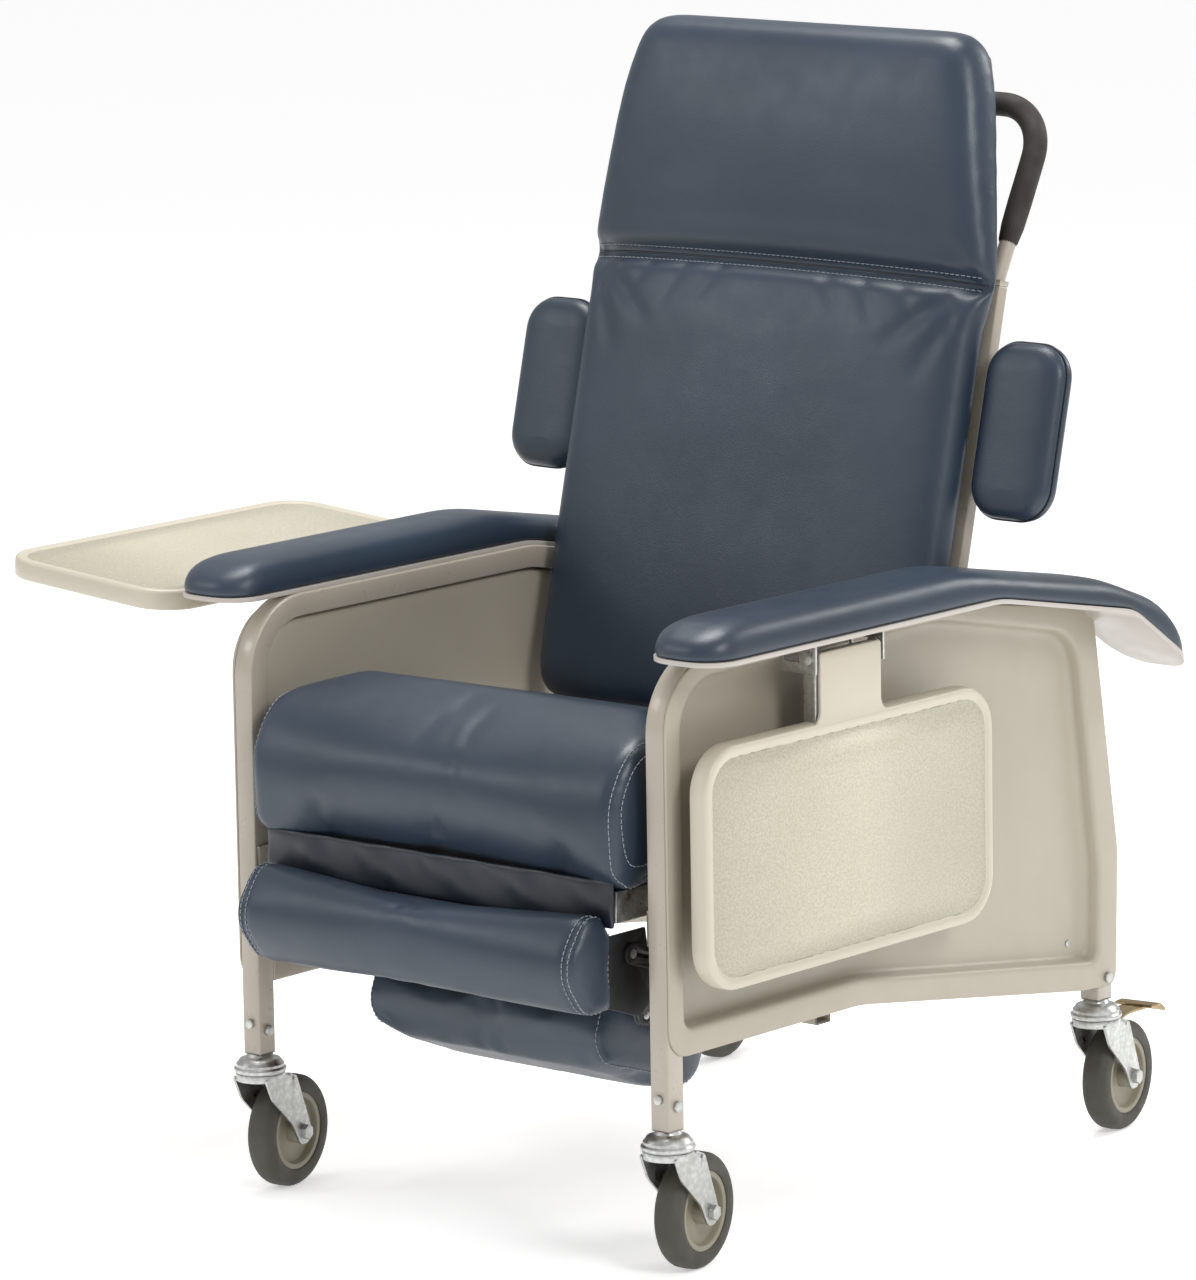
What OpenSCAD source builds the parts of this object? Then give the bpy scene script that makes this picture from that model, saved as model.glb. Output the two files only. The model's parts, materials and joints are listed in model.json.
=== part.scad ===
// Three-position patient recliner on casters, with folding side trays.
// X runs across the chair (+X is the sitter's left), the chair faces -Y, and Z is up from the floor.
// The origin lies on the floor, midway between the four caster stems.

/* [Frame] */
// Distance between the left and right caster stems
stem_span = 592; // [588:1:596]
// Distance between the front and rear caster stems
wheelbase = 762; // [755:1:770]
// Outside width of the square frame tube
tube_w = 25.4; // [24:0.1:26]
// Wall thickness of the frame tube
tube_wall = 2; // [1.5:0.1:3]
// Height of the open lower end of each leg
leg_bottom_z = 163; // [162:1:168]
// Height of the underside of the armrests
arm_under_z = 673; // [670:1:676]

/* [Side panels] */
// Wall thickness of the moulded panel
panel_t = 3; // [2:0.5:4]
// Depth to which the middle of the panel is dished inwards
dish_depth = 18; // [14:1:18]

/* [Armrests] */
// Width of the armrest
arm_w = 104; // [100:1:106]
// Thickness of the armrest's moulded base
arm_base_t = 5; // [3:0.5:8]
// Thickness of the armrest pad above its base
arm_pad_t = 39; // [32:1:40]

/* [Back] */
// Lean of the back from vertical when it is up, in degrees
back_lean = 14; // [12:0.5:15]
// Distance from the pivot up to the top of the head part
back_len = 900; // [880:1:920]
// Thickness of the back cushion
back_cushion_t = 71; // [60:1:75]

/* [Seat] */
// Height of the crest of the seat cushion
seat_crest_z = 583; // [575:1:588]
// Half of the width of the seat cushion's front roll
seat_front_half = 268; // [262:1:272]
// Half of the width of the rest of the seat cushion
seat_half = 245; // [238:1:246]

/* [Leg rest] */
// Half of the width of the calf pad
calf_half = 245; // [235:1:248]
// Half of the width of the foot pad
foot_half = 174; // [165:1:176]
// Thickness of the foot pad
foot_pad_t = 78; // [70:1:80]

/* [Trays] */
// Length of a side tray, front to back
tray_len = 496; // [470:1:500]
// Width of a side tray
tray_wid = 264; // [250:1:270]
// Depth of the tray's rim
tray_t = 23; // [20:1:24]
// Angle through which a tray swings from hanging to raised, in degrees
tray_swing = 94.5; // [90:0.5:95]

/* [Casters] */
// Radius of the caster wheels
wheel_r = 63.5; // [62:0.5:63.5]
// Width of the tyre
tyre_w = 32; // [28:1:33]
// Trail of the wheel behind the stem
caster_trail = 51; // [46:1:52]
// Angle to which the casters are turned from straight back, in degrees
caster_turn = 8.4; // [0:0.1:20]

/* [Hidden] */
$fn = 48;
run_fit = 0.05;
frame_grey = [0.74, 0.71, 0.65];
panel_ivory = [0.83, 0.80, 0.71];
tray_cream = [0.87, 0.84, 0.76];
vinyl_blue = [0.24, 0.30, 0.38];
vinyl_dark = [0.15, 0.18, 0.22];
foam_black = [0.12, 0.10, 0.09];
zinc = [0.66, 0.67, 0.66];
link_black = [0.10, 0.10, 0.10];
board_brown = [0.55, 0.42, 0.28];
tyre_olive = [0.22, 0.22, 0.19];
hub_khaki = [0.55, 0.52, 0.44];
pedal_bronze = [0.48, 0.38, 0.24];

// Side frames: faces and centre lines of the square tube, as [Y, Z] where they bend
tube_x = stem_span / 2;
half_tube = tube_w / 2;
tube_in = tube_x - half_tube;
tube_out = tube_x + half_tube;
leg_y = wheelbase / 2;
rail_z = arm_under_z - half_tube;
rail_slope = tan(11);
rail_knee_y = 84;
rail_rear_y = 350;
rear_knee_z = 300;
hoop_bend_r = 72;
knee_bend_r = 150;
low_rail_z = 256;
low_rail_knee_y = -68;
low_rail_slope = 0.14;
cross_spots = [[-100, 236], [330, 212]];

// Side panels
panel_in = tube_out;
panel_out = panel_in + panel_t;
dish_in = panel_out - dish_depth - panel_t;
dish_gap = half_tube + 1;
panel_rivet = [330, 236];

// Armrests
arm_in = 340 - arm_w / 2;
arm_front_y = -408;
arm_bend_y = 322;
arm_end_y = 448;
arm_end_slope = tan(34);
arm_corner_r = 40;
arm_seam_inset = 1;

// Side trays: the hinge pin as [X, Z], and the tray seen from it when it hangs
tray_y = -140;
tray_pin = [347, 650];
tray_pin_r = 5;
tray_face = 14;
tray_drop = 202;
tray_corner_r = 50;
tray_skin = 4;
tray_rim = 3;
tray_recess = 2;
recess_border = 12;
neck_half = 52;
cheek_t = 3;
cheek_gap = 0.6;
bracket_cheek_y = neck_half + 6;
arm_cheek_y = bracket_cheek_y - cheek_t / 2 - cheek_gap;
bracket_out = tray_pin[0] + 12;
bracket_drop = 40;

// Back: its pivot as [Y, Z], and its parts in a frame whose z runs up the back
back_pivot = [118, 385];
pin_r = 6;
upright_in = 252;
upright_w = 25;
upright_d = 16;
upright_front = -35;
upright_start = 20;
upright_top = 622;
lug_r = 15;
back_bars = [105, 330, 590];
bar_h = 20;
board_t = 6;
cushion_bottom = 95;
cushion_back = upright_front - board_t;
waist_half = 281;
waist_top = 572;
seam_half = 291;
seam_z = 622;
crown_t = 20;
wing_w = 110;
wing_h = 200;
wing_t = 34;
wing_x = 281.5 + wing_w / 2;
wing_z = 463;
wing_back = -22;
handle_lean = 14;
handle_rise = 214;
handle_bend_r = 62;
handle_r = 9.5;
handle_cap_t = 6;
grip_r = 14;
grip_start = 38;

// Glide rails: a steel angle on each side frame, on which the seat slides
glide_t = 4;
glide_z = 361;
glide_h = 40;
glide_flange = 25;

// Seat
seat_frame_z = 380;
seat_frame_h = 24;
seat_front_y = -405;
seat_rear_y = 60;
seat_rail_in = 209;
seat_rail_w = 20;
frame_front_y = -392;
seat_bars = [frame_front_y, -170, 40];
seat_board_z = seat_frame_z + seat_frame_h;
seat_board_t = 12;
bracket_flange_t = 3;
cushion_z = seat_board_z + seat_board_t + bracket_flange_t;
roll_rear_y = -330;
flap_half = 250;
flap_h = 33;
flap_z = 387;

// Leg rest linkage: pivots as [Y, Z], and the inner faces of its layers of plates
pivot_a = [-325, 402];
pivot_b = [-262, 312];
pivot_c = [-366, 344];
pivot_f = [-340, 272];
plate_t = 4;
layer_step = 5;
bracket_in = 246;
upper_in = bracket_in - layer_step;
lower_in = upper_in - layer_step;
gusset_in = lower_in - layer_step;
foot_arm_in = gusset_in - layer_step;
link_half = 12;
rivet_r = 5;
rivet_head_r = 8;
calf_back = -403;
calf_front = -478;
calf_low = 283;
calf_high = 400;
calf_board_t = 8;
calf_back_top = calf_high - 28;

// Foot pad: lower front corner as [Y, Z], and the tilt of its underside
foot_corner = [-345, 212];
foot_tilt = 22;
foot_nose = 12;
foot_len = 182;
foot_board_t = 8;

// Casters
axle_r = 5;
stem_r = 6;
crown_z = 133;
crown_top = 141;
crown_r = 28;
race_gap = 0.5;
fork_in = 20;
fork_t = 3;
hub_half = fork_in - 0.3;
tyre_in_r = 44;
pedal_pin = [31, 130];
pedal_pin_r = 2.5;
pedal_end = 124;

// Unit vector, direction in degrees, and an angle brought to the range -180 to 180
function unit(v) = v / norm(v);
function turn_of(v) = atan2(v[1], v[0]);
function wrap(a) = a - 360 * round(a / 360);
// Arc of radius r that rounds the corner q between its neighbours p and s
function bend(p, q, s, r) =
    let (u = unit(p - q), v = unit(s - q), half = acos(u * v) / 2)
    let (c = q + unit(u + v) * r / sin(half))
    let (a0 = turn_of(q + u * r / tan(half) - c))
    let (da = wrap(turn_of(q + v * r / tan(half) - c) - a0))
    let (n = max(2, ceil(abs(da) / 8)))
    [for (i = [0:n]) c + r * [cos(a0 + da * i / n), sin(a0 + da * i / n)]];
// Open path whose inner corners are rounded
function rounded_path(pts, radii) = concat(
    [pts[0]],
    [for (i = [1:len(pts) - 2]) each bend(pts[i - 1], pts[i], pts[i + 1], radii[i - 1])],
    [pts[len(pts) - 1]]);
// Closed outline whose corners are all rounded
function rounded_loop(pts, radii) =
    let (n = len(pts))
    [for (i = [0:n - 1]) each bend(pts[(i + n - 1) % n], pts[i], pts[(i + 1) % n], radii[i])];
// Point q moved d to the left of the way from p by q to s
function beside(p, q, s, d) =
    let (u = unit(q - p), v = unit(s - q), m = unit([-u[1] - v[1], u[0] + v[0]]))
    q + m * d / (m * [-u[1], u[0]]);
// Open path moved d to its left
function side_path(path, d) =
    let (n = len(path))
    [for (i = [0:n - 1])
        beside(i > 0 ? path[i - 1] : 2 * path[0] - path[1], path[i],
               i < n - 1 ? path[i + 1] : 2 * path[n - 1] - path[n - 2], d)];
// Closed clockwise outline drawn in by d
function inset_loop(loop, d) =
    let (n = len(loop))
    [for (i = [0:n - 1]) beside(loop[(i + n - 1) % n], loop[i], loop[(i + 1) % n], -d)];
function reversed(list) = [for (i = [len(list) - 1:-1:0]) list[i]];
// Outline of the band along a path between the offsets low and high
function band(path, low, high) = concat(side_path(path, low), reversed(side_path(path, high)));

// Extrudes an outline in Y and Z along X
module along_x(x0, t) {
    translate([x0, 0, 0]) rotate([90, 0, 90]) linear_extrude(t) children();
}
module both() {
    children();
    mirror([1, 0, 0]) children();
}
module rod_x(x0, len, yz, r) {
    translate([x0, yz[0], yz[1]]) rotate([0, 90, 0]) cylinder(h = len, r = r);
}
module rounded_rect(w, h, r) {
    square([w - 2 * r, h], center = true);
    square([w, h - 2 * r], center = true);
    for (x = [-1, 1], y = [-1, 1]) translate([x * (w / 2 - r), y * (h / 2 - r)]) circle(r);
}
// Bar with round ends between two pivots, in Y and Z
module link_outline(p, q, half) {
    translate(p) rotate(turn_of(q - p)) translate([0, -half]) square([norm(q - p), 2 * half]);
    for (e = [p, q]) translate(e) circle(half);
}
// Hollow square or flat tube lying along X
module tube_x_bar(half_len, y0, z0, d, h, wall) {
    difference() {
        translate([-half_len, y0, z0]) cube([2 * half_len, d, h]);
        translate([-half_len - 1, y0 + wall, z0 + wall])
            cube([2 * half_len + 2, d - 2 * wall, h - 2 * wall]);
    }
}

// Side frame: one bent tube that makes both legs and the top rail
function rail_height(y) = rail_z - max(0, y - rail_knee_y) * rail_slope;
function low_height(y) = low_rail_z - max(0, y - low_rail_knee_y) * low_rail_slope;
hoop_path = rounded_path(
    [[-leg_y, leg_bottom_z], [-leg_y, rail_z], [rail_knee_y, rail_z],
     [rail_rear_y, rail_height(rail_rear_y)], [leg_y, rear_knee_z], [leg_y, leg_bottom_z]],
    [hoop_bend_r, knee_bend_r, hoop_bend_r, knee_bend_r]);
bore_path = rounded_path(
    [[-leg_y, leg_bottom_z - 1], [-leg_y, rail_z], [rail_knee_y, rail_z],
     [rail_rear_y, rail_height(rail_rear_y)], [leg_y, rear_knee_z], [leg_y, leg_bottom_z - 1]],
    [hoop_bend_r, knee_bend_r, hoop_bend_r, knee_bend_r]);
module side_hoop() {
    bore = half_tube - tube_wall;
    color(frame_grey) difference() {
        along_x(tube_in, tube_w) polygon(band(hoop_path, -half_tube, half_tube));
        along_x(tube_in + tube_wall, 2 * bore) polygon(band(bore_path, -bore, bore));
    }
}
// Rail low between the legs, which carries the foot of the side panel
low_path = rounded_path(
    [[-leg_y, low_rail_z], [low_rail_knee_y, low_rail_z], [leg_y, low_height(leg_y)]],
    [knee_bend_r]);
module lower_rails() {
    color(frame_grey) both() along_x(tube_in, tube_w) intersection() {
        polygon(band(low_path, -half_tube, half_tube));
        translate([-leg_y + half_tube, 0]) square([wheelbase - tube_w, arm_under_z]);
    }
}
module cross_tubes() {
    color(frame_grey) for (c = cross_spots)
        tube_x_bar(tube_in, c[0] - half_tube, c[1] - half_tube, tube_w, tube_w, tube_wall);
}

// Side panel: a flat border that covers the tube, around a dished middle
panel_loop = rounded_loop(
    [[-leg_y - half_tube, low_rail_z - 14], [-leg_y - half_tube, arm_under_z - 8],
     [rail_knee_y, arm_under_z - 8], [rail_rear_y + 8, rail_height(rail_rear_y) + 12],
     [leg_y + 22, 335], [leg_y + 18, low_height(leg_y) - 15],
     [leg_y - 46, low_height(leg_y) - 11], [low_rail_knee_y, low_rail_z - 14]],
    [30, 72, knee_bend_r, 72, 90, 16, 150, knee_bend_r]);
dish_loop = rounded_loop(
    [[-leg_y + dish_gap, low_rail_z + 15], [-leg_y + dish_gap, rail_z - dish_gap],
     [rail_knee_y, rail_z - dish_gap], [rail_rear_y - 22, rail_height(rail_rear_y) - 12],
     [leg_y - 18, 318], [leg_y - 16, low_height(leg_y - 16) + 15],
     [low_rail_knee_y, low_rail_z + 15]],
    [12, 58, knee_bend_r, 60, 80, 12, knee_bend_r]);
dish_floor = inset_loop(dish_loop, panel_t);
module side_panel() {
    color(panel_ivory) difference() {
        union() {
            along_x(panel_in, panel_t) polygon(panel_loop);
            along_x(dish_in, panel_in - dish_in) polygon(dish_loop);
        }
        along_x(dish_in + panel_t, dish_depth + 1) polygon(dish_floor);
    }
}

// Armrest: its underside follows the top rail, then drops more steeply behind it
arm_path = rounded_path(
    [[arm_front_y, rail_z], [rail_knee_y, rail_z], [arm_bend_y, rail_height(arm_bend_y)],
     [arm_end_y, rail_height(arm_bend_y) - (arm_end_y - arm_bend_y) * arm_end_slope]],
    [knee_bend_r, 60]);
arm_top_z = arm_under_z + arm_base_t + arm_pad_t;
arm_top_path = rounded_path(
    [[arm_front_y, arm_top_z], [30, arm_top_z], [290, arm_top_z - 47], [390, arm_top_z - 83],
     [arm_end_y, arm_top_z - 124]],
    [300, 200, 150]);
module arm_plan(inset) {
    translate([arm_in + arm_w / 2, (arm_front_y + arm_end_y) / 2, arm_under_z - 250])
        linear_extrude(400)
            rounded_rect(arm_w - 2 * inset, arm_end_y - arm_front_y - 2 * inset, arm_corner_r);
}
module arm_base() {
    color(tray_cream) intersection() {
        along_x(arm_in - 1, arm_w + 2) polygon(band(arm_path, half_tube, half_tube + arm_base_t));
        arm_plan(0);
    }
}
module arm_pad() {
    low = side_path(arm_path, half_tube + arm_base_t);
    color(vinyl_blue) intersection() {
        along_x(arm_in - 1, arm_w + 2) polygon(concat(low, reversed(arm_top_path)));
        arm_plan(arm_seam_inset);
    }
}

// Bracket under the armrest that holds a tray's hinge pin; each cheek has a slot beside the pin
module tray_bracket() {
    low = arm_under_z - bracket_drop;
    pin_hole_r = tray_pin_r + run_fit;
    slot_start = panel_out + 4;
    for (s = [-1, 1]) difference() {
        translate([panel_out, tray_y + s * bracket_cheek_y - cheek_t / 2, low])
            cube([bracket_out - panel_out, cheek_t, bracket_drop]);
        translate([tray_pin[0], tray_y + s * bracket_cheek_y + cheek_t, tray_pin[1]])
            rotate([90, 0, 0]) cylinder(h = 2 * cheek_t, r = pin_hole_r);
        translate([slot_start, tray_y + s * bracket_cheek_y - cheek_t, tray_pin[1] - pin_hole_r])
            cube([tray_pin[0] - tray_pin_r - 3 - slot_start, 2 * cheek_t, 2 * pin_hole_r]);
    }
    translate([panel_out, tray_y - bracket_cheek_y, arm_under_z - cheek_t])
        cube([bracket_out - panel_out, 2 * bracket_cheek_y, cheek_t]);
}
module tray_brackets() {
    color(zinc) both() tray_bracket();
}
// Tray parts are drawn hanging, with the hinge pin at the origin of X and Z, facing +X
module hanging() {
    translate([tray_pin[0], tray_y, tray_pin[1]]) children();
}
module lifted() {
    mirror([1, 0, 0]) hanging() rotate([0, -tray_swing, 0]) children();
}
// Outline in Y and Z extruded along X, about the middle of the tray
module tray_slab(x0, t, inset) {
    translate([x0, 0, -tray_drop]) rotate([90, 0, 90]) linear_extrude(t)
        rounded_rect(tray_len - 2 * inset, tray_wid - 2 * inset, tray_corner_r - inset);
}
module tray() {
    hollow = tray_t - tray_skin - tray_recess;
    top = -tray_drop + tray_wid / 2;
    color(tray_cream) difference() {
        union() {
            tray_slab(tray_face - tray_t, tray_t, 0);
            translate([tray_face - tray_recess - tray_skin, -neck_half, top - 20])
                cube([tray_skin, 2 * neck_half, 26 - top]);
        }
        tray_slab(tray_face - tray_t - 1, hollow + 1, tray_rim);
        tray_slab(tray_face - tray_recess, tray_recess + 1, recess_border);
        translate([tray_face - tray_t - 1, -arm_cheek_y - 1, top - 12])
            cube([hollow + 1, 2 * arm_cheek_y + 2, 20]);
    }
}
// Steel arm under the tray: two ears on the hinge pin and a plate along the tray's back
module tray_arm() {
    plate_x = tray_face - tray_recess - tray_skin - cheek_t;
    ear_r = plate_x + cheek_t;
    color(zinc) difference() {
        union() {
            for (s = [-1, 1]) translate([0, s * (arm_cheek_y - cheek_t / 2) + cheek_t / 2, 0])
                rotate([90, 0, 0]) linear_extrude(cheek_t) {
                    circle(ear_r);
                    translate([-ear_r, -70]) square([2 * ear_r, 70]);
                }
            translate([plate_x, -arm_cheek_y, -190]) cube([cheek_t, 2 * arm_cheek_y, 176]);
        }
        translate([0, arm_cheek_y + 1, 0]) rotate([90, 0, 0])
            cylinder(h = 2 * arm_cheek_y + 2, r = tray_pin_r + run_fit);
    }
}

// Steel angles on which the seat slides; they also carry the back's pivot pins
module glide_rails() {
    front_y = -leg_y - half_tube + 2;
    color(frame_grey) both() difference() {
        union() {
            translate([tube_in - glide_t, front_y, glide_z]) cube([glide_t, 2 * leg_y, glide_h]);
            translate([tube_in - glide_flange, -300, glide_z])
                cube([glide_flange, 300 + seat_rear_y, glide_t]);
        }
        rod_x(tube_in - 10, 20, back_pivot, pin_r);
    }
}
module hinge_pins() {
    color(zinc) both() {
        rod_x(upright_in - 0.5, tube_in - upright_in + 0.5, back_pivot, pin_r);
        rod_x(upright_in - 4.5, 4, back_pivot, pin_r + 4);
        translate([tray_pin[0], tray_y + bracket_cheek_y + 6, tray_pin[1]]) rotate([90, 0, 0])
            cylinder(h = 2 * bracket_cheek_y + 12, r = tray_pin_r);
        for (s = [-1, 1])
            translate([tray_pin[0], tray_y + s * (bracket_cheek_y + 3.5) + 2, tray_pin[1]])
                rotate([90, 0, 0]) cylinder(h = 4, r = tray_pin_r + 2.5);
    }
}
// Bolts in the legs and rivets in the panels
module frame_fasteners() {
    bolt_z = 190;
    color(zinc) both() {
        for (s = [-1, 1]) {
            rod_x(s < 0 ? tube_out : panel_out, 4, [s * leg_y, bolt_z], 6);
            rod_x(tube_in - 4, 4, [s * leg_y, bolt_z], 6);
        }
        translate([tube_x, -leg_y - half_tube, bolt_z + 8]) rotate([90, 0, 0])
            cylinder(h = 4, r = 5);
        rod_x(dish_in + panel_t, 1.5, panel_rivet, 4);
    }
}
// Caster stem, its plug in the leg, the upper race and the head that holds the fork
module caster_stems() {
    plug = tube_w - 2 * tube_wall - 2 * run_fit;
    race_z = crown_top + race_gap;
    race_h = leg_bottom_z - race_z;
    color(zinc) for (x = [-1, 1], y = [-1, 1]) translate([x * tube_x, y * leg_y, 0]) {
        translate([0, 0, crown_z - race_gap - 3]) cylinder(h = 3, r = 9);
        translate([0, 0, crown_z - race_gap - 1]) cylinder(h = 20, r = stem_r);
        translate([0, 0, race_z]) rotate_extrude()
            polygon([[0, 0], [crown_r, 0], [crown_r + 1.5, 2], [crown_r + 1.5, 5], [crown_r - 1, 7],
                     [crown_r - 1, 10], [crown_r - 3, 12], [crown_r - 5, 15], [half_tube + 3, 18],
                     [half_tube + 1, race_h], [0, race_h]]);
        translate([-plug / 2, -plug / 2, leg_bottom_z - 1]) cube([plug, plug, 30]);
    }
}

// Everything on the back is drawn upright about the pivot, then leaned
module leaned() {
    translate([0, back_pivot[0], back_pivot[1]]) rotate([-back_lean, 0, 0]) children();
}
module upright() {
    difference() {
        union() {
            difference() {
                translate([upright_in, upright_front, upright_start])
                    cube([upright_w, upright_d, upright_top - upright_start]);
                translate([upright_in + tube_wall, upright_front + tube_wall, upright_start + 30])
                    cube([upright_w - 2 * tube_wall, upright_d - 2 * tube_wall, upright_top]);
            }
            along_x(upright_in, upright_w) {
                circle(lug_r);
                polygon([[-lug_r, 0], [lug_r, 0], [upright_front + upright_d, upright_start + 40],
                         [upright_front, upright_start + 40], [upright_front, upright_start]]);
            }
        }
        rod_x(upright_in - 1, upright_w + 2, [0, 0], pin_r + run_fit);
    }
}
module back_uprights() {
    color(frame_grey) both() leaned() upright();
}
module back_cross_bars() {
    color(frame_grey) leaned() for (z = back_bars)
        tube_x_bar(upright_in, upright_front, z, upright_d, bar_h, tube_wall);
}
module back_board() {
    color(vinyl_dark) leaned() translate([0, upright_front, 0])
        rotate([90, 0, 0]) linear_extrude(board_t) polygon(inset_loop(cushion_loop, 22));
}
// Right half of the cushion's outline in X and Z, and the whole outline with it mirrored
cushion_half = [[waist_half - 5, cushion_bottom], [waist_half, 300], [waist_half, waist_top],
                [seam_half, seam_z], [seam_half - 32, back_len - 75], [seam_half - 55, back_len]];
function mirrored(pts) = [for (p = reversed(pts)) [-p[0], p[1]]];
cushion_loop = rounded_loop(reversed(concat(cushion_half, mirrored(cushion_half))),
    [40, 120, 60, 60, 200, 35, 35, 200, 60, 60, 120, 40]);
module back_cushion() {
    color(vinyl_blue) leaned() {
        translate([0, cushion_back, 0]) rotate([90, 0, 0]) linear_extrude(back_cushion_t - crown_t)
            polygon(cushion_loop);
        translate([0, cushion_back - back_cushion_t + crown_t, 0]) rotate([90, 0, 0])
            linear_extrude(crown_t) polygon(inset_loop(cushion_loop, 24));
    }
}
module wing_pad() {
    color(vinyl_blue) leaned() translate([wing_x, wing_back, wing_z]) rotate([90, 0, 0])
        linear_extrude(wing_t) rounded_rect(wing_w, wing_h, 40);
}
module wing_brackets() {
    color(zinc) both() leaned()
        translate([upright_in + upright_w, wing_back, wing_z - bar_h])
            cube([wing_w * 0.75, 3, 2 * bar_h]);
}
// U-shaped bar, drawn flat in X and Z with its feet on the X axis
module u_bar(half, rise, bend_r, r, start) {
    for (s = [-1, 1]) translate([s * half, 0, start]) cylinder(h = rise - bend_r - start, r = r);
    for (s = [0, 1]) mirror([s, 0, 0]) translate([half - bend_r, 0, rise - bend_r])
        rotate([90, 0, 0]) rotate_extrude(angle = 90) translate([bend_r, 0]) circle(r);
    rod_x(bend_r - half, 2 * (half - bend_r), [0, rise], r);
}
handle_half = upright_in + upright_w / 2;
module on_uprights() {
    leaned() translate([0, upright_front + upright_d / 2, upright_top]) children();
}
module push_handle() {
    color(frame_grey) on_uprights() {
        rotate([-handle_lean, 0, 0]) u_bar(handle_half, handle_rise, handle_bend_r, handle_r, 4);
        for (s = [-1, 1]) translate([s * handle_half - upright_w / 2, -upright_d / 2, 0])
            cube([upright_w, upright_d, handle_cap_t]);
    }
}
module handle_grip() {
    color(foam_black) on_uprights() rotate([-handle_lean, 0, 0]) difference() {
        u_bar(handle_half, handle_rise, handle_bend_r, grip_r, grip_start);
        u_bar(handle_half, handle_rise, handle_bend_r, handle_r, grip_start - 1);
    }
}

// Seat: a steel frame with a board on it, and the cushion on the board
module seat_frame() {
    color(frame_grey) {
        both() difference() {
            translate([seat_rail_in, frame_front_y, seat_frame_z])
                cube([seat_rail_w, seat_rear_y - frame_front_y, seat_frame_h]);
            translate([seat_rail_in + tube_wall, frame_front_y - 1, seat_frame_z + tube_wall])
                cube([seat_rail_w - 2 * tube_wall, seat_rear_y - frame_front_y + 2,
                      seat_frame_h - 2 * tube_wall]);
        }
        for (y = seat_bars)
            tube_x_bar(seat_rail_in, y, seat_frame_z, seat_rail_w, seat_frame_h, tube_wall);
    }
}
module seat_board() {
    half = seat_rail_in + seat_rail_w;
    color(board_brown) translate([-half, seat_front_y, seat_board_z])
        cube([2 * half, seat_rear_y - seat_front_y, seat_board_t]);
}
seat_outline = rounded_loop(
    [[seat_front_y + 5, cushion_z], [-434, cushion_z + 12], [-444, seat_crest_z - 70],
     [-400, seat_crest_z + 2], [-318, seat_crest_z + 2], [seat_rear_y + 12, seat_crest_z - 94],
     [seat_rear_y + 6, cushion_z]],
    [15, 14, 80, 45, 70, 15, 8]);
module seat_cushion() {
    color(vinyl_blue) {
        along_x(-seat_half, 2 * seat_half) polygon(seat_outline);
        along_x(-seat_front_half, 2 * seat_front_half) intersection() {
            polygon(seat_outline);
            translate([-500, 0]) square([500 + roll_rear_y, 1000]);
        }
    }
}
// Blocks on the seat frame that slide along the glide rails
module glide_blocks() {
    low = glide_z + glide_t + 0.3;
    start = seat_rail_in + seat_rail_w;
    color(link_black) both() for (y = [-150, 20])
        translate([start, y, low]) cube([tube_in - glide_t - 2.4 - start, 30, 400 - low]);
}
// Short flap that hangs in front of the seat frame, over the top of the leg rest
module leg_flap() {
    color(vinyl_dark) translate([-flap_half, seat_front_y - 6, flap_z])
        cube([2 * flap_half, 6, flap_h]);
}

// Linkage plates
module pivot_pins(x_in, x_out, at) {
    color(zinc) both() {
        rod_x(x_in, x_out - x_in, at, rivet_r);
        rod_x(x_in - 2.4, 2.5, at, rivet_head_r);
    }
}
// Hole for a pin: tight where the pin is fixed, or with a running fit where the plate turns
module pin_hole(at, slack) {
    rod_x(foot_arm_in - 5, 40, at, rivet_r + slack);
}
module link_brackets() {
    y0 = seat_front_y;
    length = 115;
    color(zinc) both() difference() {
        union() {
            translate([bracket_in, y0, 385]) cube([plate_t, length, cushion_z - 385]);
            translate([seat_rail_in + 6, y0, cushion_z - bracket_flange_t])
                cube([bracket_in - seat_rail_in - 5, length, bracket_flange_t]);
        }
        pin_hole(pivot_a, 0);
    }
}
module upper_link_pins() {
    pivot_pins(upper_in - 0.3, bracket_in + plate_t, pivot_a);
}
module upper_links() {
    color(link_black) both() difference() {
        along_x(upper_in, plate_t) link_outline(pivot_a, pivot_b, link_half);
        pin_hole(pivot_a, run_fit);
        pin_hole(pivot_b, 0);
    }
}
module lower_link_pins() {
    pivot_pins(lower_in - 0.3, upper_in + plate_t, pivot_b);
}
module lower_links() {
    color(link_black) both() difference() {
        along_x(lower_in, plate_t) link_outline(pivot_b, pivot_c, link_half);
        pin_hole(pivot_b, run_fit);
        pin_hole(pivot_c, 0);
    }
}
module calf_pins() {
    pivot_pins(gusset_in - 0.3, lower_in + plate_t, pivot_c);
}
module calf_gussets() {
    color(link_black) both() difference() {
        along_x(gusset_in, plate_t) {
            link_outline(pivot_c, pivot_f, link_half);
            polygon([[calf_back, calf_back_top - 4], [pivot_c[0] + 26, calf_back_top - 4],
                     [pivot_f[0] + link_half, pivot_f[1] + 18], [pivot_f[0] - link_half, pivot_f[1]],
                     [calf_back, calf_low + 7]]);
        }
        pin_hole(pivot_c, run_fit);
        pin_hole(pivot_f, 0);
    }
}
module foot_pins() {
    pivot_pins(foot_arm_in - 0.3, gusset_in + plate_t, pivot_f);
}
module calf_board() {
    color(board_brown) translate([-gusset_in, calf_back, calf_low + 5])
        cube([2 * gusset_in, calf_board_t, calf_back_top - calf_low - 7]);
}
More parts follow.
